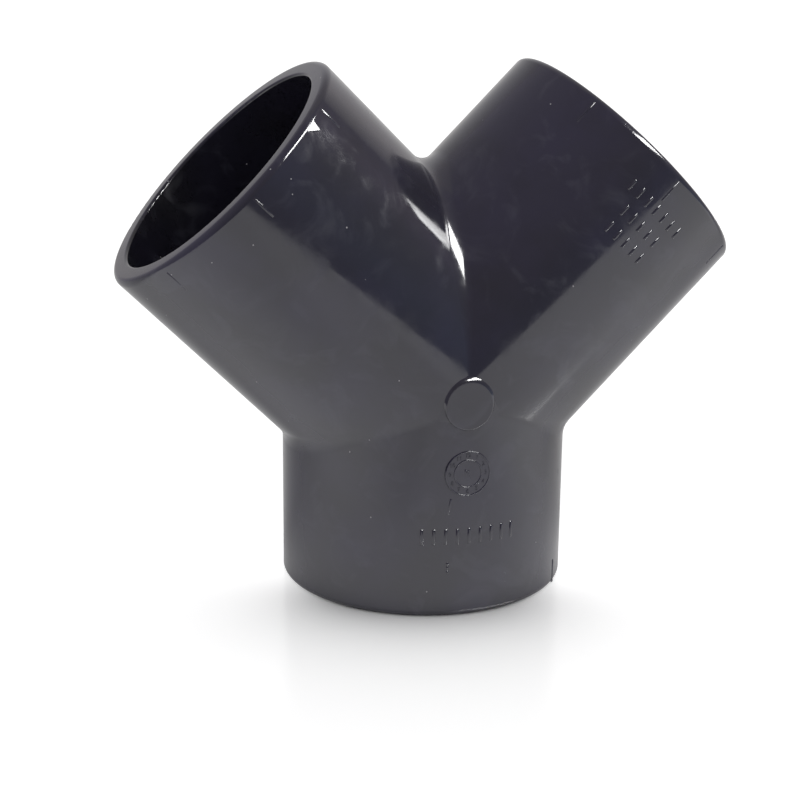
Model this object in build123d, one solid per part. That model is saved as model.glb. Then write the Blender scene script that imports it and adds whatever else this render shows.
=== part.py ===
"""Symmetric double 45 degree wye for solvent-welded pressure pipe, moulded in one piece.

An upright stem socket stands on the floor and two equal arm sockets lean away from it, to +X and to -X.
All three are the same turned section about their own axis, and the three axes meet at the junction centre.
The origin is the centre of the stem's rim, +Z runs up the stem, and the front, with the two mould insert
faces, looks to -Y.
"""
import os
from math import cos, radians, sin, tan

from build123d import *

# The pipe, and the socket that takes it
pipe_diameter = 63.0
socket_play = 0.2
socket_depth = 38.0
socket_wall = 5.4

# The waterway between the three stop shoulders
waterway_diameter = 57.0

# How the arms lean from the stem's line, and how far each stop shoulder lies past the crease
arm_lean = 45.0
neck_margin = 1.5

# Rounded edges and creases
rim_round = 1.75
mouth_round = 0.8
crease_round = 6.4
waterway_crease_round = 1.0

# Flat faces left by two round mould inserts: one over the junction centre, one lower on the stem
junction_insert_diameter = 12.4
junction_insert_proud = 0.5
junction_insert_edge_round = 0.45
dial_insert_diameter = 11.8
dial_insert_proud = 0.05
dial_insert_edge_round = 0.2
dial_insert_height = 37.5

# Radii about each branch axis
socket_radius = (pipe_diameter + socket_play) / 2
outer_radius = socket_radius + socket_wall
waterway_radius = waterway_diameter / 2

# Two equal round walls that meet at an angle part company at outer_radius / tan(half that angle)
arm_reach = outer_radius / tan(radians(arm_lean)) + neck_margin + socket_depth
stem_reach = outer_radius * tan(radians(arm_lean / 2)) + neck_margin + socket_depth

# Each branch: its lean from straight up, and the distance from the junction centre to its rim
branches = [(180.0, stem_reach), (arm_lean, arm_reach), (-arm_lean, arm_reach)]


def branch_plane(lean):
    """Plane through the junction centre whose normal runs out along a branch."""
    axis = (sin(radians(lean)), 0, cos(radians(lean)))
    return Plane(origin=(0, 0, stem_reach), x_dir=(0, 1, 0), z_dir=axis)


def standing_cylinder(radius, bottom, top):
    """Cylinder about Z between two heights."""
    return Pos(0, 0, bottom) * Cylinder(radius, top - bottom, align=(Align.CENTER, Align.CENTER, Align.MIN))


def top_ring(solid):
    """Highest round edge of a solid that stands on Z."""
    return solid.edges().filter_by(GeomType.CIRCLE).sort_by(Axis.Z)[-1]


def outer_branch(reach):
    """Outside of one branch, from the junction centre to its rim, with the rim's outer edge rounded."""
    blank = standing_cylinder(outer_radius, 0, reach)
    return fillet(top_ring(blank), rim_round)


def branch_core(reach):
    """Hollow of one branch: the waterway, the wider socket past the stop shoulder, and the mouth's rounded edge.

    The flange lies on the rim, and its rounded corner with the socket leaves the edge of the mouth rounded.
    """
    waterway = standing_cylinder(waterway_radius, 0, reach - socket_depth)
    socket = standing_cylinder(socket_radius, reach - socket_depth, reach)
    flange = standing_cylinder(outer_radius, reach, reach + mouth_round)
    core_pin = socket + flange
    mouth_ring = core_pin.edges().filter_by(GeomType.CIRCLE).filter_by(
        lambda ring: abs(ring.radius - socket_radius) < 0.01 and abs(ring.arc_center.Z - reach) < 0.01)
    return waterway + fillet(mouth_ring, mouth_round)


def joined_branches(make_branch, crease_radius):
    """The three branches as one solid, with the elliptical creases between them rounded."""
    placed = [branch_plane(lean) * make_branch(reach) for lean, reach in branches]
    whole = placed[0] + placed[1] + placed[2]
    creases = whole.edges().filter_by(GeomType.ELLIPSE)
    return fillet(creases, crease_radius)


def insert_face(diameter, proud, edge_round, height):
    """Flat-faced round pad on the front, rooted half way into the wall, with its edge rounded."""
    root = (outer_radius + waterway_radius) / 2
    pad = standing_cylinder(diameter / 2, root, outer_radius + proud)
    pad = fillet(top_ring(pad), edge_round)
    return Plane(origin=(0, 0, height), x_dir=(1, 0, 0), z_dir=(0, -1, 0)) * pad


outside = joined_branches(outer_branch, crease_round)
outside += insert_face(junction_insert_diameter, junction_insert_proud, junction_insert_edge_round, stem_reach)
outside += insert_face(dial_insert_diameter, dial_insert_proud, dial_insert_edge_round, dial_insert_height)
wye_body = outside - joined_branches(branch_core, waterway_crease_round)

os.makedirs("parts", exist_ok=True)
export_step(wye_body, "parts/wye_body.step")
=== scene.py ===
from math import atan2, cos, pi, radians, sin

import bpy
from mathutils import Matrix, Vector


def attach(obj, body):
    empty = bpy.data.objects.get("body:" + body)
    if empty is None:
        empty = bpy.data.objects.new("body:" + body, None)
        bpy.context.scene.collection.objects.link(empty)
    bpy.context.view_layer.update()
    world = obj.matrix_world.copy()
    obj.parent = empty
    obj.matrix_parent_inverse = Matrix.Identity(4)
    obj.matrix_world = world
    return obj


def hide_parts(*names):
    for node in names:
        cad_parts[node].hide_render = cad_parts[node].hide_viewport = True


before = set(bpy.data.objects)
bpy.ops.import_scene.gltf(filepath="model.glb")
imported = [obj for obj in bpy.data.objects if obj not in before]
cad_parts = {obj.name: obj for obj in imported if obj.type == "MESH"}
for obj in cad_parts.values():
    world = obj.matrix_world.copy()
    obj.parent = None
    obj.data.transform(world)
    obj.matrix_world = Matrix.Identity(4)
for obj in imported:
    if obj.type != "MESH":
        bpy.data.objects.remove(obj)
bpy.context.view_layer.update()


# The camera stands a little to the left of the fitting and looks slightly down on it, as in the photograph.
# Its place was found by matching the outline, with no lens shift and no depth of field.
camera_azimuth = radians(-17.025)
camera_elevation = radians(15.901)
camera_roll = radians(0.645)
camera_distance = 0.46464
aim_height = 0.0461
aim_aside = -0.006065
photo_width_px = 800
focal_length_px = 1761.87
sensor_width_mm = 36.0
nearest_seen = 0.01
farthest_seen = 50

back = Vector((sin(camera_azimuth) * cos(camera_elevation), -cos(camera_azimuth) * cos(camera_elevation),
               sin(camera_elevation)))
level_right = Vector((cos(camera_azimuth), sin(camera_azimuth), 0))
level_up = back.cross(level_right)
right = cos(camera_roll) * level_right + sin(camera_roll) * level_up
up = cos(camera_roll) * level_up - sin(camera_roll) * level_right
camera_data = bpy.data.cameras.new("camera")
camera_data.sensor_width = sensor_width_mm
camera_data.lens = sensor_width_mm * focal_length_px / photo_width_px
camera_data.clip_start = nearest_seen
camera_data.clip_end = farthest_seen
camera = bpy.data.objects.new("camera", camera_data)
bpy.context.scene.collection.objects.link(camera)
camera.matrix_world = Matrix.Translation(
    Vector((0, 0, aim_height)) + camera_distance * back + aim_aside * right
) @ Matrix((right, up, back)).transposed().to_4x4()
bpy.context.scene.camera = camera


# The studio is a glossy white table whose front edge runs slantwise past the camera, under a white sky.
# In front of its foot the table's glow is painted darker, a painted shadow of the light from behind,
# and beside the foot it is painted lighter. In the gloss the table shows a painted glow, brightest
# in front of the fitting and duller behind it. A reach is a pair: where a change starts and where it ends.
table_edge_at = -0.4404
table_edge_slope = -0.8
table_reach = 4.0
table_white = (0.8, 0.8, 0.8, 1)
table_roughness = 0.16
table_ior = 1.6
table_glow = 0.54
foot_radius = 0.036
painted_shadow_length = 0.0164
painted_shadow_way_reach = (0.15, 0.90)
painted_side_light_share = 0.30
painted_side_light_length = 0.020
painted_foot_shade_length = 0.006
aside_reach = (0.05, 0.13)
left_slant = 0.35
front_near_reach = (-0.050, 0.025)
front_aside_reach = (-0.090, 0.050)
close_reach = (0.05, 0.16)
front_gloss_glow = 0.72
side_gloss_glow = 0.26
near_gloss_glow = 0.26
painted_far_left_shade = 0.20
far_off_reach = (-0.13, -0.06)
far_left_reach = (-0.075, -0.030)
sky_light = 0.75


def plain_material(name):
    """A new material with no nodes yet, its nodes and its links."""
    made = bpy.data.materials.new(name)
    made.use_nodes = True
    made.node_tree.nodes.clear()
    return made, made.node_tree.nodes, made.node_tree.links


def maths(nodes, links, operation, first, second=0.0):
    """One Math node. Each input is a socket or a number."""
    node = nodes.new("ShaderNodeMath")
    node.operation = operation
    for socket, value in zip(node.inputs, (first, second)):
        if isinstance(value, bpy.types.NodeSocket):
            links.new(value, socket)
        else:
            socket.default_value = value
    return node.outputs[0]


def smooth_step(nodes, links, value, low, high, from_value=0.0, to_value=1.0):
    """A Map Range node that eases from one value to another while its input goes from low to high."""
    node = nodes.new("ShaderNodeMapRange")
    node.interpolation_type = "SMOOTHSTEP"
    links.new(value, node.inputs["Value"])
    for name, number in (("From Min", low), ("From Max", high), ("To Min", from_value), ("To Max", to_value)):
        node.inputs[name].default_value = number
    return node.outputs["Result"]


bpy.ops.object.select_all(action="DESELECT")
bpy.ops.mesh.primitive_plane_add(size=1)
table = bpy.context.object
table.name = "table"
for vertex, (x, behind) in zip(table.data.vertices, ((-1, 0), (1, 0), (-1, 2), (1, 2))):
    vertex.co = (x * table_reach, table_edge_at + table_edge_slope * x * table_reach + behind * table_reach, 0)
paper, nodes, links = plain_material("table_white")
place = nodes.new("ShaderNodeTexCoord")
axes = nodes.new("ShaderNodeSeparateXYZ")
links.new(place.outputs["Object"], axes.inputs[0])
off_axis = nodes.new("ShaderNodeVectorMath")
off_axis.operation = "LENGTH"
links.new(place.outputs["Object"], off_axis.inputs[0])
unit = nodes.new("ShaderNodeVectorMath")
unit.operation = "NORMALIZE"
links.new(place.outputs["Object"], unit.inputs[0])
ahead = nodes.new("ShaderNodeVectorMath")
ahead.operation = "DOT_PRODUCT"
links.new(unit.outputs[0], ahead.inputs[0])
ahead.inputs[1].default_value = (sin(camera_azimuth), -cos(camera_azimuth), 0)
# Painted shadow: in front of the foot the glow is turned down, as the shade of the light from behind.
from_foot = maths(nodes, links, "SUBTRACT", off_axis.outputs["Value"], foot_radius)
painted_shadow_fading = maths(nodes, links, "EXPONENT", maths(nodes, links, "DIVIDE", from_foot, -painted_shadow_length))
in_front = smooth_step(nodes, links, ahead.outputs["Value"], *painted_shadow_way_reach)
shade = maths(nodes, links, "MULTIPLY", painted_shadow_fading, in_front)
path = nodes.new("ShaderNodeLightPath")
seen = maths(nodes, links, "MAXIMUM", path.outputs["Is Camera Ray"], path.outputs["Is Transmission Ray"])
# Painted light: beside the foot the glow is lifted, to whiten the table there.
painted_side_light_fading = maths(nodes, links, "EXPONENT", maths(nodes, links, "DIVIDE", from_foot, -painted_side_light_length))
painted_side_light = maths(nodes, links, "MULTIPLY", maths(nodes, links, "SUBTRACT", 1.0, in_front),
                  maths(nodes, links, "MULTIPLY", painted_side_light_fading, painted_side_light_share))
share = maths(nodes, links, "ADD", maths(nodes, links, "SUBTRACT", 1.0, shade), painted_side_light)
glow_with_painted_shade = maths(nodes, links, "MULTIPLY", share, table_glow)
seen_glow = maths(nodes, links, "MULTIPLY", seen, glow_with_painted_shade)

# Painted light and shade seen only in the gloss: the glow is brighter in front of the fitting, at its sides and
# close to it, and duller behind it.
aside = maths(nodes, links, "ABSOLUTE", axes.outputs["X"])
is_aside = smooth_step(nodes, links, aside, *aside_reach)
on_left = maths(nodes, links, "MINIMUM", axes.outputs["X"], 0.0)
slanted = maths(nodes, links, "ADD", axes.outputs["Y"], maths(nodes, links, "MULTIPLY", on_left, left_slant))
front_near = smooth_step(nodes, links, slanted, *front_near_reach, 1.0, 0.0)
front_aside = smooth_step(nodes, links, slanted, *front_aside_reach, 1.0, 0.0)
side_share = maths(nodes, links, "MULTIPLY", is_aside, front_aside)
near_share = maths(nodes, links, "MULTIPLY", maths(nodes, links, "SUBTRACT", 1.0, is_aside), front_near)
close = smooth_step(nodes, links, off_axis.outputs["Value"], *close_reach, near_gloss_glow, 0.0)
near_gloss = maths(nodes, links, "MULTIPLY", near_share, maths(nodes, links, "ADD", close, front_gloss_glow))
side_gloss = maths(nodes, links, "MULTIPLY", side_share, front_gloss_glow + side_gloss_glow)
# Painted shade in the gloss: the glow is darkened right at the foot and far to the left behind.
painted_foot_shade = maths(nodes, links, "EXPONENT", maths(nodes, links, "DIVIDE", from_foot, -painted_foot_shade_length))
lit_share = maths(nodes, links, "SUBTRACT", 1.0, painted_foot_shade)
far_off = smooth_step(nodes, links, axes.outputs["Y"], *far_off_reach, painted_far_left_shade, 0.0)
far_left = smooth_step(nodes, links, axes.outputs["X"], *far_left_reach, 1.0, 0.0)
lit_share = maths(nodes, links, "MULTIPLY", lit_share,
                  maths(nodes, links, "SUBTRACT", 1.0, maths(nodes, links, "MULTIPLY", far_off, far_left)))
in_gloss = maths(nodes, links, "MULTIPLY", maths(nodes, links, "ADD", near_gloss, side_gloss), lit_share)
gloss_glow = maths(nodes, links, "MULTIPLY", path.outputs["Is Glossy Ray"], in_gloss)
glow = nodes.new("ShaderNodeEmission")
links.new(maths(nodes, links, "ADD", seen_glow, gloss_glow), glow.inputs["Strength"])
lacquer = nodes.new("ShaderNodeBsdfPrincipled")
lacquer.inputs["Base Color"].default_value = table_white
lacquer.inputs["Roughness"].default_value = table_roughness
lacquer.inputs["IOR"].default_value = table_ior
both = nodes.new("ShaderNodeAddShader")
links.new(lacquer.outputs[0], both.inputs[0])
links.new(glow.outputs[0], both.inputs[1])
out = nodes.new("ShaderNodeOutputMaterial")
links.new(both.outputs[0], out.inputs["Surface"])
table.data.materials.append(paper)

world = bpy.data.worlds.new("white_room")
world.use_nodes = True
nodes, links = world.node_tree.nodes, world.node_tree.links
sky = nodes["Background"]
sky.inputs["Color"].default_value = (1, 1, 1, 1)
path = nodes.new("ShaderNodeLightPath")
seen = maths(nodes, links, "MAXIMUM", path.outputs["Is Camera Ray"], path.outputs["Is Glossy Ray"])
seen = maths(nodes, links, "MAXIMUM", seen, path.outputs["Is Transmission Ray"])
links.new(smooth_step(nodes, links, seen, 0.0, 1.0, sky_light, 1.0), sky.inputs["Strength"])
bpy.context.scene.world = world


# Dark cloth hangs round the table and over it, with a pale scrim behind. Only mirror rays see them.
# Each row is a way round the studio: degrees to the right of straight in front, then the colours
# level with the fitting, 30 degrees up and 60 degrees up.
cloth_radius = 1.6
cloth_height = 1.5
cloth_sides = 144
sine_of_middle = 0.5
sine_of_top = 0.87
surroundings = (
    (-180, (0.64, 0.63, 0.63), (0.60, 0.59, 0.61), (0.45, 0.43, 0.43)),
    (-165, (0.56, 0.54, 0.55), (0.48, 0.47, 0.49), (0.43, 0.41, 0.42)),
    (-160, (0.50, 0.48, 0.50), (0.42, 0.40, 0.43), (0.41, 0.40, 0.40)),
    (-157, (0.42, 0.40, 0.46), (0.44, 0.42, 0.48), (0.38, 0.36, 0.38)),
    (-140, (0.37, 0.36, 0.41), (0.40, 0.38, 0.45), (0.34, 0.32, 0.36)),
    (-90, (0.34, 0.32, 0.40), (0.36, 0.34, 0.43), (0.31, 0.28, 0.35)),
    (-60, (0.26, 0.24, 0.33), (0.28, 0.25, 0.34), (0.28, 0.25, 0.34)),
    (-20, (0.12, 0.11, 0.15), (0.18, 0.16, 0.18), (0.27, 0.24, 0.32)),
    (0, (0.12, 0.12, 0.16), (0.19, 0.17, 0.20), (0.27, 0.24, 0.32)),
    (18, (0.16, 0.17, 0.24), (0.20, 0.19, 0.22), (0.29, 0.26, 0.32)),
    (37, (0.25, 0.30, 0.45), (0.22, 0.22, 0.25), (0.31, 0.28, 0.36)),
    (52, (0.31, 0.38, 0.56), (0.25, 0.25, 0.30), (0.32, 0.30, 0.37)),
    (67, (0.36, 0.46, 0.62), (0.29, 0.28, 0.34), (0.34, 0.32, 0.40)),
    (84, (0.42, 0.47, 0.62), (0.44, 0.39, 0.47), (0.38, 0.35, 0.42)),
    (96, (0.40, 0.38, 0.48), (0.36, 0.33, 0.37), (0.38, 0.35, 0.41)),
    (105, (0.36, 0.34, 0.42), (0.31, 0.29, 0.34), (0.36, 0.34, 0.38)),
    (107, (0.55, 0.52, 0.53), (0.52, 0.50, 0.52), (0.38, 0.36, 0.40)),
    (113, (0.70, 0.67, 0.67), (0.68, 0.65, 0.66), (0.41, 0.40, 0.40)),
    (126, (0.89, 0.84, 0.84), (0.86, 0.82, 0.82), (0.49, 0.45, 0.45)),
    (136, (0.80, 0.77, 0.77), (0.78, 0.75, 0.76), (0.47, 0.45, 0.44)),
    (150, (0.72, 0.71, 0.71), (0.70, 0.69, 0.70), (0.45, 0.43, 0.43)),
    (180, (0.64, 0.63, 0.63), (0.60, 0.59, 0.61), (0.45, 0.43, 0.43)),
)


def way(azimuth, elevation):
    """Unit vector towards a place in the studio, with azimuth 0 in front and 90 on the right."""
    across, rise = radians(azimuth), radians(elevation)
    return Vector((sin(across) * cos(rise), -cos(across) * cos(rise), sin(rise)))


def mixed(nodes, links, factor, first, second, blend="MIX"):
    """One colour Mix node. The factor is a socket or a number, each colour a socket or four numbers."""
    node = nodes.new("ShaderNodeMix")
    node.data_type = "RGBA"
    node.blend_type = blend
    for socket, value in ((node.inputs[0], factor), (node.inputs[6], first), (node.inputs[7], second)):
        if isinstance(value, bpy.types.NodeSocket):
            links.new(value, socket)
        else:
            socket.default_value = value
    return node.outputs[2]


bpy.ops.object.select_all(action="DESELECT")
bpy.ops.mesh.primitive_cylinder_add(vertices=cloth_sides, radius=cloth_radius, depth=2 * cloth_height,
                                    location=(0, 0, 0))
cloth = bpy.context.object
cloth.name = "cloth_and_scrim"
bpy.ops.object.mode_set(mode="EDIT")
bpy.ops.mesh.select_all(action="DESELECT")
bpy.ops.object.mode_set(mode="OBJECT")
for face in cloth.data.polygons:
    face.select = face.normal.z < -0.5
bpy.ops.object.mode_set(mode="EDIT")
bpy.ops.mesh.delete(type="FACE")
bpy.ops.object.mode_set(mode="OBJECT")
fabric, nodes, links = plain_material("studio_cloth")
place = nodes.new("ShaderNodeTexCoord")
unit = nodes.new("ShaderNodeVectorMath")
unit.operation = "NORMALIZE"
links.new(place.outputs["Object"], unit.inputs[0])
axes = nodes.new("ShaderNodeSeparateXYZ")
links.new(unit.outputs[0], axes.inputs[0])
to_front = maths(nodes, links, "MULTIPLY", axes.outputs["Y"], -1.0)
turn = maths(nodes, links, "ARCTAN2", axes.outputs["X"], to_front)
round_share = maths(nodes, links, "ADD", maths(nodes, links, "DIVIDE", turn, 2 * pi), 0.5)
bands = []
for height in (1, 2, 3):
    ramp_node = nodes.new("ShaderNodeValToRGB")
    links.new(round_share, ramp_node.inputs[0])
    ramp = ramp_node.color_ramp
    while len(ramp.elements) < len(surroundings):
        ramp.elements.new(0.5)
    for element, row in zip(ramp.elements, surroundings):
        element.position = (row[0] + 180) / 360
        element.color = row[height] + (1,)
    bands.append(ramp_node.outputs[0])
to_middle = smooth_step(nodes, links, axes.outputs["Z"], 0.0, sine_of_middle)
to_top = smooth_step(nodes, links, axes.outputs["Z"], sine_of_middle, sine_of_top)
colour = mixed(nodes, links, to_middle, bands[0], bands[1])
colour = mixed(nodes, links, to_top, colour, bands[2])
glow = nodes.new("ShaderNodeEmission")
links.new(colour, glow.inputs["Color"])
out = nodes.new("ShaderNodeOutputMaterial")
links.new(glow.outputs[0], out.inputs["Surface"])
cloth.data.materials.append(fabric)
cloth.visible_camera = False
cloth.visible_diffuse = False
cloth.visible_shadow = False


# One wide soft box stands high on the right in front and faces the middle of the fitting.
# Its mirror image is the short white streaks, and it adds nothing to the even light of the room.
softbox_azimuth = 46.0
softbox_elevation = 42.7
softbox_distance = 1.0
softbox_width = 0.85
softbox_height = 0.228
softbox_watts = 21.0
softbox_aim_height = 0.09
softbox_data = bpy.data.lights.new("softbox", "AREA")
softbox_data.shape = "RECTANGLE"
softbox_data.size = softbox_width
softbox_data.size_y = softbox_height
softbox_data.energy = softbox_watts
softbox = bpy.data.objects.new("softbox", softbox_data)
bpy.context.scene.collection.objects.link(softbox)
softbox.location = Vector((0, 0, softbox_aim_height)) + softbox_distance * way(softbox_azimuth, softbox_elevation)
softbox.rotation_mode = "QUATERNION"
softbox.rotation_quaternion = way(softbox_azimuth, softbox_elevation).to_track_quat("Z", "Y")
softbox.visible_diffuse = False


# The fitting is one moulding of dark grey rigid PVC, with the gloss of the polished mould.
# Its shading follows the true forms: round walls, slightly crowned rims, rolled edges and creases.
# The bores' colour is painted darker than the outside, a painted shade for the dark inside the sockets.
pvc_colour = (0.027, 0.0255, 0.0375)
pvc_roughness = 0.07
pvc_ior = 1.52
haze_share = 0.04
haze_roughness = 0.35
cloud_scale = 46.0
cloud_detail = 5.0
cloud_reach = (0.35, 0.65)
cloud_dark = (0.90, 0.90, 0.90)
cloud_light = (1.08, 1.06, 1.22)
painted_bore_shade = (0.45, 0.45, 0.45, 1)
scuff_scale = 160.0
scuff_detail = 6.0
scuff_fineness = 0.65
scuff_reach = (0.40, 0.75)
scuff_roughness = 0.10
smear_scale = 75.0
smear_detail = 5.0
smear_swirl = 1.6
smear_reach = (0.50, 0.72)
smear_roughness = 0.12
smear_share = 0.14
smear_colour = (0.10, 0.10, 0.13, 1)
dust_scale = 230.0
dust_speck_radius = 0.045
dust_left_out = 0.70
dust_roughness = 0.6
dust_colour = (0.30, 0.29, 0.31, 1)
sink_mark_depth = 0.00006
sink_mark_pitch = 0.022
rim_radius = 0.037
bore_radius = 0.0316
waterway_radius = 0.0285
rim_round = 0.00175
mouth_round = 0.0008
crease_round = 0.0064
rim_crown = radians(3)
junction_height = 0.054826
arm_length = 0.0765
junction_insert = {"radius": 0.0062, "proud": 0.0375, "edge_round": 0.00045, "height": junction_height}
dial_insert = {"radius": 0.0059, "proud": 0.03705, "edge_round": 0.0002, "height": 0.0375}
closeness = 0.000006
merge_distance = 0.000002
own_side = 0.9
front = Vector((0, -1, 0))
stem_way = Vector((0, 0, -1))
right_arm_way = Vector((sin(radians(45)), 0, cos(radians(45))))
left_arm_way = Vector((-sin(radians(45)), 0, cos(radians(45))))
branches = ((stem_way, junction_height), (right_arm_way, arm_length), (left_arm_way, arm_length))


def pvc_material(name):
    """Dark grey plastic with faint clouds, scuffs, wiping smears, specks of dust, shallow sink marks and painted
    shade in the bores.
    """
    made, nodes, links = plain_material(name)
    place = nodes.new("ShaderNodeTexCoord")
    shell = nodes.new("ShaderNodeBsdfPrincipled")
    shell.inputs["IOR"].default_value = pvc_ior
    shell.inputs["Coat Weight"].default_value = haze_share
    shell.inputs["Coat Roughness"].default_value = haze_roughness

    cloud = nodes.new("ShaderNodeTexNoise")
    cloud.inputs["Scale"].default_value = cloud_scale
    cloud.inputs["Detail"].default_value = cloud_detail
    links.new(place.outputs["Object"], cloud.inputs["Vector"])
    shade = smooth_step(nodes, links, cloud.outputs["Fac"], *cloud_reach)
    darker, lighter = (tuple(part * change for part, change in zip(pvc_colour, changes)) + (1,)
                       for changes in (cloud_dark, cloud_light))
    colour = mixed(nodes, links, shade, darker, lighter)
    # Painted shade: the bore faces' colour is multiplied darker.
    bore_shade_mask = nodes.new("ShaderNodeAttribute")
    bore_shade_mask.attribute_name = "painted_shade_in_bore"
    painted_bore_colour = mixed(nodes, links, 1.0, colour, painted_bore_shade, "MULTIPLY")
    colour = mixed(nodes, links, bore_shade_mask.outputs["Fac"], colour, painted_bore_colour)

    scuff = nodes.new("ShaderNodeTexNoise")
    scuff.inputs["Scale"].default_value = scuff_scale
    scuff.inputs["Detail"].default_value = scuff_detail
    scuff.inputs["Roughness"].default_value = scuff_fineness
    links.new(place.outputs["Object"], scuff.inputs["Vector"])
    rough = smooth_step(nodes, links, scuff.outputs["Fac"], *scuff_reach, pvc_roughness,
                        pvc_roughness + scuff_roughness)
    wipe = nodes.new("ShaderNodeTexNoise")
    wipe.inputs["Scale"].default_value = smear_scale
    wipe.inputs["Detail"].default_value = smear_detail
    wipe.inputs["Distortion"].default_value = smear_swirl
    links.new(place.outputs["Object"], wipe.inputs["Vector"])
    smear = smooth_step(nodes, links, wipe.outputs["Fac"], *smear_reach)
    rough = maths(nodes, links, "ADD", rough, maths(nodes, links, "MULTIPLY", smear, smear_roughness))
    colour = mixed(nodes, links, maths(nodes, links, "MULTIPLY", smear, smear_share), colour, smear_colour)

    cells = nodes.new("ShaderNodeTexVoronoi")
    cells.inputs["Scale"].default_value = dust_scale
    links.new(place.outputs["Object"], cells.inputs["Vector"])
    near = maths(nodes, links, "LESS_THAN", cells.outputs["Distance"], dust_speck_radius)
    pick = nodes.new("ShaderNodeSeparateColor")
    links.new(cells.outputs["Color"], pick.inputs[0])
    chosen = maths(nodes, links, "GREATER_THAN", pick.outputs[0], dust_left_out)
    dust = maths(nodes, links, "MULTIPLY", near, chosen)
    links.new(mixed(nodes, links, dust, colour, dust_colour), shell.inputs["Base Color"])
    links.new(maths(nodes, links, "MAXIMUM", rough, maths(nodes, links, "MULTIPLY", dust, dust_roughness)),
              shell.inputs["Roughness"])

    swell = nodes.new("ShaderNodeTexNoise")
    swell.inputs["Scale"].default_value = 1.0 / sink_mark_pitch
    swell.inputs["Detail"].default_value = 1.0
    links.new(place.outputs["Object"], swell.inputs["Vector"])
    bump = nodes.new("ShaderNodeBump")
    bump.inputs["Strength"].default_value = 1.0
    bump.inputs["Distance"].default_value = sink_mark_depth
    links.new(swell.outputs["Fac"], bump.inputs["Height"])
    links.new(bump.outputs["Normal"], shell.inputs["Normal"])
    out = nodes.new("ShaderNodeOutputMaterial")
    links.new(shell.outputs[0], out.inputs["Surface"])
    return made


def crease_centre(spot, first, second):
    """Nearest spot to this one on the path of the ball that rounds the crease between two branches."""
    side = first.cross(front)
    middle = first - second
    side = side - side.dot(middle) / first.dot(middle) * first
    turn = atan2(spot.dot(side) / side.length_squared, spot.dot(front))
    for _ in range(8):
        centre = (rim_radius + crease_round) * (cos(turn) * front + sin(turn) * side)
        along = (rim_radius + crease_round) * (cos(turn) * side - sin(turn) * front)
        turn -= (centre - spot).dot(along) / (along.dot(along) - (centre - spot).dot(centre))
    return (rim_radius + crease_round) * (cos(turn) * front + sin(turn) * side)


def ways_out(spot):
    """The ways that point straight out of the forms which pass through a spot, given from the junction."""
    found = []
    for axis, reach in branches:
        across = spot - spot.dot(axis) * axis
        out = across.normalized()
        for radius, way_out in ((rim_radius, out), (bore_radius, -out), (waterway_radius, -out)):
            if abs(across.length - radius) < closeness:
                found.append(way_out)
        inner, outer = bore_radius + mouth_round, rim_radius - rim_round
        from_ring = spot - (reach - rim_round) * axis - outer * out
        if abs(from_ring.length - rim_round) < closeness:
            roll = atan2(from_ring.dot(axis), from_ring.dot(out)) * (1 - rim_crown / (pi / 2))
            found.append(cos(roll) * out + sin(roll) * axis)
        from_ring = spot - (reach - mouth_round) * axis - inner * out
        if abs(from_ring.length - mouth_round) < closeness:
            found.append(from_ring.normalized())
        if abs(spot.dot(axis) - reach) < closeness:
            tilt = rim_crown * (across.length - inner) / (outer - inner)
            found.append(cos(tilt) * axis + sin(tilt) * out)
    for first, second in ((branches[0][0], branches[1][0]), (branches[1][0], branches[2][0]),
                          (branches[2][0], branches[0][0])):
        to_centre = crease_centre(spot, first, second) - spot
        if abs(to_centre.length - crease_round) < closeness:
            found.append(to_centre.normalized())
    for insert in (junction_insert, dial_insert):
        across = Vector((spot.x, 0, spot.z + junction_height - insert["height"]))
        ring_spot = (insert["radius"] - insert["edge_round"]) * across.normalized()
        ring_spot += (insert["proud"] - insert["edge_round"]) * front
        from_ring = across + spot.y * Vector((0, 1, 0)) - ring_spot
        if abs(-spot.y - insert["proud"]) < closeness:
            found.append(front)
        elif abs(from_ring.length - insert["edge_round"]) < closeness:
            found.append(from_ring.normalized())
        elif abs(across.length - insert["radius"]) < closeness:
            found.append(across.normalized())
    return found


pvc = pvc_material("dark_grey_pvc")
cad_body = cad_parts["wye_body"]
moulding = cad_body.copy()
moulding.data = cad_body.data.copy()
moulding.name = "moulding"
moulding.parent = None
bpy.context.scene.collection.objects.link(moulding)
bpy.ops.object.select_all(action="DESELECT")
moulding.select_set(True)
bpy.context.view_layer.objects.active = moulding
bpy.ops.mesh.customdata_custom_splitnormals_clear()
bpy.ops.object.mode_set(mode="EDIT")
bpy.ops.mesh.select_all(action="SELECT")
bpy.ops.mesh.remove_doubles(threshold=merge_distance)
bpy.ops.object.mode_set(mode="OBJECT")
bpy.ops.object.shade_smooth_by_angle(angle=radians(32))
junction = Vector((0, 0, junction_height))
out_of = [ways_out(vertex.co - junction) for vertex in moulding.data.vertices]
true_normals = []
for face in moulding.data.polygons:
    for corner in face.vertices:
        best = max(out_of[corner], key=face.normal.dot, default=Vector((0, 0, 0)))
        true_normals.append(best if face.normal.dot(best) > own_side else Vector((0, 0, 0)))
moulding.data.normals_split_custom_set(true_normals)
# Mark the bore faces, whose colour gets the painted shade.
painted_shade_in_bore = moulding.data.attributes.new("painted_shade_in_bore", "FLOAT", "POINT")
for vertex, ways in zip(moulding.data.vertices, out_of):
    spot = vertex.co - junction
    depths = [(spot - spot.dot(axis) * axis).length for axis, reach in branches if spot.dot(axis) > 0]
    painted_shade_in_bore.data[vertex.index].value = float(min(depths) < bore_radius + 0.5 * mouth_round)
moulding.data.materials.clear()
moulding.data.materials.append(pvc)
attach(moulding, "root")
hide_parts("wye_body")


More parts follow.
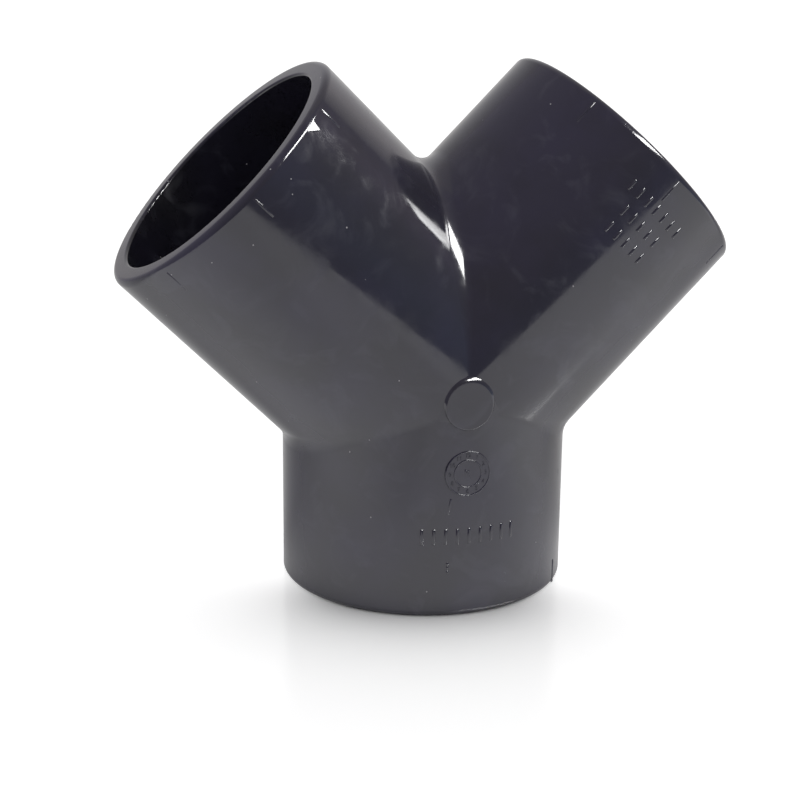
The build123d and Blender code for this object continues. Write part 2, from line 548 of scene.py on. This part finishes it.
# Raised lines stand near each rim, to turn the pipes by: five round each arm and two on the stem.
# They are fine flat-topped ridges cut into the mould, with their edges just broken.
line_length = 0.0066
line_width = 0.00080
line_proud = 0.00017
mark_root = 0.00025
arm_line_from_rim = 0.0050
arm_line_turns = (-45, 0, 45, 135, 225)
stem_line_from_rim = 0.0037
stem_line_turns = (-51.8, 128.2)
ridge_top_share = 0.45
ridge_edge_share = 0.21
facing_up = 0.9


def on_wall(axis, length, from_rim, turn):
    """Matrix that sets a mark, made flat at the origin with +Y to the rim and +Z out, on a branch's round wall."""
    around = axis.cross(front)
    out_of_wall = cos(turn) * front + sin(turn) * around
    along_ring = cos(turn) * around - sin(turn) * front
    spot = Vector((0, 0, junction_height)) + (length - from_rim) * axis + rim_radius * out_of_wall
    return Matrix.Translation(spot) @ Matrix((along_ring, axis, out_of_wall)).transposed().to_4x4()


def ridge(name, width, length, proud, root):
    """Flat-topped ridge about the origin, with sloping flanks and softened edges."""
    bpy.ops.object.select_all(action="DESELECT")
    bpy.ops.mesh.primitive_cube_add(size=1, location=(0, 0, 0))
    made = bpy.context.object
    made.name = name
    bpy.ops.object.mode_set(mode="EDIT")
    bpy.ops.mesh.select_all(action="SELECT")
    bpy.ops.transform.resize(value=(width, length, proud + root))
    bpy.ops.transform.translate(value=(0, 0, (proud - root) / 2))
    bpy.ops.mesh.select_all(action="DESELECT")
    bpy.ops.object.mode_set(mode="OBJECT")
    for face in made.data.polygons:
        face.select = face.normal.z > facing_up
    bpy.ops.object.mode_set(mode="EDIT")
    bpy.ops.transform.resize(value=(ridge_top_share, 1 - (1 - ridge_top_share) * width / length, 1))
    bpy.ops.mesh.bevel(offset=ridge_edge_share * width, segments=4, affect="EDGES")
    bpy.ops.object.mode_set(mode="OBJECT")
    bpy.ops.object.shade_smooth_by_angle(angle=radians(75))
    return made


def copies_as_one(pattern, name, places):
    """Copies of a pattern, each with its own mesh, set in their places and joined into one piece."""
    bpy.ops.object.select_all(action="DESELECT")
    for place in places:
        one = pattern.copy()
        one.data = pattern.data.copy()
        one.data.transform(place)
        bpy.context.scene.collection.objects.link(one)
        one.select_set(True)
        bpy.context.view_layer.objects.active = one
    joined = bpy.context.view_layer.objects.active
    if len(places) > 1:
        bpy.ops.object.join()
    joined.name = name
    bpy.data.objects.remove(pattern)
    joined.data.materials.clear()
    joined.data.materials.append(pvc)
    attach(joined, "root")
    return joined


line_places = [on_wall(axis, arm_length, arm_line_from_rim, radians(turn))
               for axis in (right_arm_way, left_arm_way) for turn in arm_line_turns]
line_places += [on_wall(stem_way, junction_height, stem_line_from_rim, radians(turn)) for turn in stem_line_turns]
copies_as_one(ridge("pattern", line_width, line_length, line_proud, mark_root), "turning_lines", line_places)


# A block of plain raised bars stands on the right arm and a single row on the stem, as a fitter's tally.
# They are cut into the mould like the turning lines, a little wider, and say nothing.
bar_height = 0.0034
bar_width = 0.00105
bar_proud = 0.00032
bar_pitch = 0.0030
block_turn = radians(1.0)
block_rows = ((0.0106, 7), (0.0162, 5), (0.0216, 5))
row_turn = radians(-1.0)
row_from_rim = 0.0212
row_bars = 9
row_bar_stretch = 1.3


def row_turns(middle_turn, count):
    """How far round the wall each bar of a row stands."""
    return [middle_turn + (place - (count - 1) / 2) * bar_pitch / rim_radius for place in range(count)]


bar_places = [on_wall(right_arm_way, arm_length, from_rim, turn)
              for from_rim, count in block_rows for turn in row_turns(block_turn, count)]
bar_places += [on_wall(stem_way, junction_height, row_from_rim, turn) @ Matrix.Diagonal((1, row_bar_stretch, 1, 1))
               for turn in row_turns(row_turn, row_bars)]
copies_as_one(ridge("pattern", bar_width, bar_height, bar_proud, mark_root), "tally_bars", bar_places)


# Three dots and one short streak stand on the stem, left by nicks in the mould.
# They are a tenth of a millimetre proud, and have the plastic's own colour.
dot_radius = 0.00075
dot_proud = 0.00013
dot_turn = radians(7.4)
dots_from_rim = (0.01185, 0.0131, 0.0141)
streak_length = 0.0044
streak_width = 0.0008
streak_proud = 0.00012
streak_from_rim = 0.0292
streak_turn = radians(7.0)
streak_lean = radians(-9)
dot_places = [on_wall(stem_way, junction_height, from_rim, dot_turn) for from_rim in dots_from_rim]
bpy.ops.object.select_all(action="DESELECT")
bpy.ops.mesh.primitive_uv_sphere_add(segments=24, ring_count=16, radius=1, location=(0, 0, 0))
dome = bpy.context.object
bpy.ops.object.mode_set(mode="EDIT")
bpy.ops.mesh.select_all(action="SELECT")
bpy.ops.transform.resize(value=(dot_radius, dot_radius, dot_radius))
bpy.ops.transform.translate(value=(0, 0, dot_proud - dot_radius))
bpy.ops.object.mode_set(mode="OBJECT")
bpy.ops.object.shade_smooth()
copies_as_one(dome, "mould_dots", dot_places)
streak_place = on_wall(stem_way, junction_height, streak_from_rim, streak_turn)
streak_place = streak_place @ Matrix.Rotation(streak_lean, 4, "Z")
copies_as_one(ridge("pattern", streak_width, streak_length, streak_proud, mark_root), "mould_streak", [streak_place])


# A small three-cornered flat stands by the left arm's rim, where the mould's gate was trimmed off.
# It leans towards the rim, so that it catches the soft box, and is a third of a millimetre proud at most.
gate_length = 0.00356
gate_base = 0.00297
gate_thickness = 0.0008
gate_proud = 0.00016
gate_edge = 0.00006
gate_from_rim = 0.0024
gate_turn = radians(35.4)
gate_lean = radians(5.5)
gate_way = radians(72)
bpy.ops.object.select_all(action="DESELECT")
bpy.ops.mesh.primitive_cylinder_add(vertices=3, radius=1, depth=1, location=(0, 0, 0))
gate = bpy.context.object
bpy.ops.object.mode_set(mode="EDIT")
bpy.ops.mesh.select_all(action="SELECT")
bpy.ops.transform.resize(value=(gate_base / 3 ** 0.5, gate_length / 1.5, gate_thickness),
                         center_override=(0, 0, 0))
bpy.ops.transform.translate(value=(0, 0, gate_proud - gate_thickness / 2))
bpy.ops.mesh.bevel(offset=gate_edge, segments=1, affect="EDGES")
bpy.ops.object.mode_set(mode="OBJECT")
bpy.ops.object.shade_smooth_by_angle(angle=radians(20))
gate_place = (on_wall(left_arm_way, arm_length, gate_from_rim, gate_turn)
              @ Matrix.Rotation(-gate_lean, 4, "X") @ Matrix.Rotation(gate_way, 4, "Z"))
copies_as_one(gate, "gate_mark", [gate_place])


# The upper of two round mould inserts leaves a flat face over the junction, on the front. It stands proud
# with a rolled edge, widest at its top, on a low shoulder. Each step of the rolled edge, from the outside in,
# is its share of the edge's width and its share of the edge's drop.
upper_insert_radius = 0.00660
upper_insert_middle = (0.00010, 0.05545)
upper_insert_front = -0.03748
upper_insert_back = -0.0355
rolled_edge_top = 0.00120
rolled_edge_foot = 0.00024
rolled_edge_drop = 0.00075
rolled_edge_turn = radians(-12)
rolled_edge_steps = ((0.30, 0.42), (0.35, 0.35), (0.35, 0.23))
rolled_edge_bevel = 0.00005
shoulder_radius = 0.0085
shoulder_rise = 0.00046
bpy.ops.object.select_all(action="DESELECT")
foot_depth = upper_insert_back - upper_insert_front - rolled_edge_drop - shoulder_rise
bpy.ops.mesh.primitive_cylinder_add(vertices=96, radius=shoulder_radius, depth=foot_depth,
                                    location=(0, 0, foot_depth / 2))
button = bpy.context.object
bpy.ops.object.transform_apply(location=True, rotation=False, scale=False)
bpy.ops.object.mode_set(mode="EDIT")
bpy.ops.mesh.select_all(action="DESELECT")
bpy.ops.object.mode_set(mode="OBJECT")
for face in button.data.polygons:
    face.select = face.normal.z > facing_up
bpy.ops.object.mode_set(mode="EDIT")
bpy.ops.mesh.inset(thickness=shoulder_radius - upper_insert_radius, depth=0)
bpy.ops.transform.translate(value=(0, 0, shoulder_rise))
edge_mean = (rolled_edge_top + rolled_edge_foot) / 2
edge_shift = (rolled_edge_foot - rolled_edge_top) / 2
for share_across, share_down in rolled_edge_steps:
    bpy.ops.mesh.inset(thickness=share_across * edge_mean, depth=0)
    bpy.ops.transform.translate(value=(share_across * edge_shift * sin(-rolled_edge_turn),
                                       share_across * edge_shift * cos(rolled_edge_turn),
                                       share_down * rolled_edge_drop))
bpy.ops.mesh.bevel(offset=rolled_edge_bevel, segments=2, affect="EDGES")
bpy.ops.object.mode_set(mode="OBJECT")
bpy.ops.object.shade_smooth_by_angle(angle=radians(20))
face_front = Matrix(((1, 0, 0), (0, 0, -1), (0, 1, 0))).to_4x4()
insert_place = Matrix.Translation((upper_insert_middle[0], upper_insert_back, upper_insert_middle[1]))
copies_as_one(button, "upper_insert", [insert_place @ face_front])


# The lower insert is a date dial on the stem's front, with two rings, the numbers 1 to 12 and a pointer.
# It is cut into the end of a small steel pin in the mould, whose pointer is turned from month to month.
dial_ring_radii = (0.00565, 0.0035)
dial_ring_width = 0.00036
dial_ring_proud = 0.00018
dial_ring_round_share = 0.45
ring_merge_distance = 0.000001
dial_root = 0.0003
number_radius = 0.00462
number_size = 0.0015
number_proud = 0.00018
pointer_proud = 0.00020
pointer_length = 0.0026
pointer_width = 0.00045
pointer_turn = radians(36)
barb_length = 0.0014
barb_width = 0.00042
barb_turn = radians(35)
barb_tip = 0.0012
barb_hang = 0.0005


def turned_ring(radius, width, proud, root):
    """Low round-topped ring about Z at the origin, spun from a small profile."""
    bpy.ops.object.select_all(action="DESELECT")
    bpy.ops.mesh.primitive_plane_add(size=1, location=(0, 0, 0))
    made = bpy.context.object
    bpy.ops.object.mode_set(mode="EDIT")
    bpy.ops.mesh.select_all(action="SELECT")
    bpy.ops.transform.resize(value=(width, proud + root, 1))
    bpy.ops.transform.rotate(value=radians(-90), orient_axis="X", center_override=(0, 0, 0))
    bpy.ops.transform.translate(value=(radius, 0, (proud - root) / 2))
    bpy.ops.mesh.select_all(action="DESELECT")
    bpy.ops.object.mode_set(mode="OBJECT")
    for vertex in made.data.vertices:
        vertex.select = vertex.co.z > 0
    bpy.ops.object.mode_set(mode="EDIT")
    bpy.ops.mesh.bevel(offset=dial_ring_round_share * width, segments=4, affect="VERTICES")
    bpy.ops.mesh.select_all(action="SELECT")
    bpy.ops.mesh.spin(steps=72, angle=2 * pi, center=(0, 0, 0), axis=(0, 0, 1))
    bpy.ops.mesh.select_all(action="SELECT")
    bpy.ops.mesh.remove_doubles(threshold=ring_merge_distance)
    bpy.ops.mesh.normals_make_consistent(inside=False)
    bpy.ops.object.mode_set(mode="OBJECT")
    bpy.ops.object.shade_smooth_by_angle(angle=radians(50))
    return made


on_dial = Matrix.Translation((0, -dial_insert["proud"], dial_insert["height"])) @ face_front
dial_parts = []
for radius in dial_ring_radii:
    ring = turned_ring(radius, dial_ring_width, dial_ring_proud, dial_root)
    ring.data.transform(on_dial)
    dial_parts.append(ring)
for hour in range(1, 13):
    bpy.ops.object.select_all(action="DESELECT")
    bpy.ops.object.text_add(location=(0, 0, 0))
    number = bpy.context.object
    number.data.body = str(hour)
    number.data.size = number_size
    number.data.align_x = "CENTER"
    number.data.align_y = "CENTER"
    number.data.extrude = number_proud
    number.data.resolution_u = 4
    bpy.ops.object.convert(target="MESH")
    number = bpy.context.object
    clock = radians(90 - 30 * hour)
    number.data.transform(on_dial @ Matrix.Translation((number_radius * cos(clock), number_radius * sin(clock), 0)))
    dial_parts.append(number)
along_pointer = on_dial @ Matrix.Rotation(pointer_turn, 4, "Z")
shaft = ridge("pointer", pointer_width, pointer_length, pointer_proud, dial_root)
shaft.data.transform(along_pointer)
dial_parts.append(shaft)
for side in (-1, 1):
    barb = ridge("barb", barb_width, barb_length, pointer_proud, dial_root)
    barb.data.transform(along_pointer @ Matrix.Translation((0, barb_tip, 0))
                        @ Matrix.Rotation(side * barb_turn, 4, "Z") @ Matrix.Translation((0, -barb_hang, 0)))
    dial_parts.append(barb)
bpy.ops.object.select_all(action="DESELECT")
for part in dial_parts:
    part.select_set(True)
bpy.context.view_layer.objects.active = dial_parts[0]
bpy.ops.object.join()
copies_as_one(bpy.context.object, "date_dial", [Matrix()])

bpy.context.scene.view_settings.view_transform = "Standard"
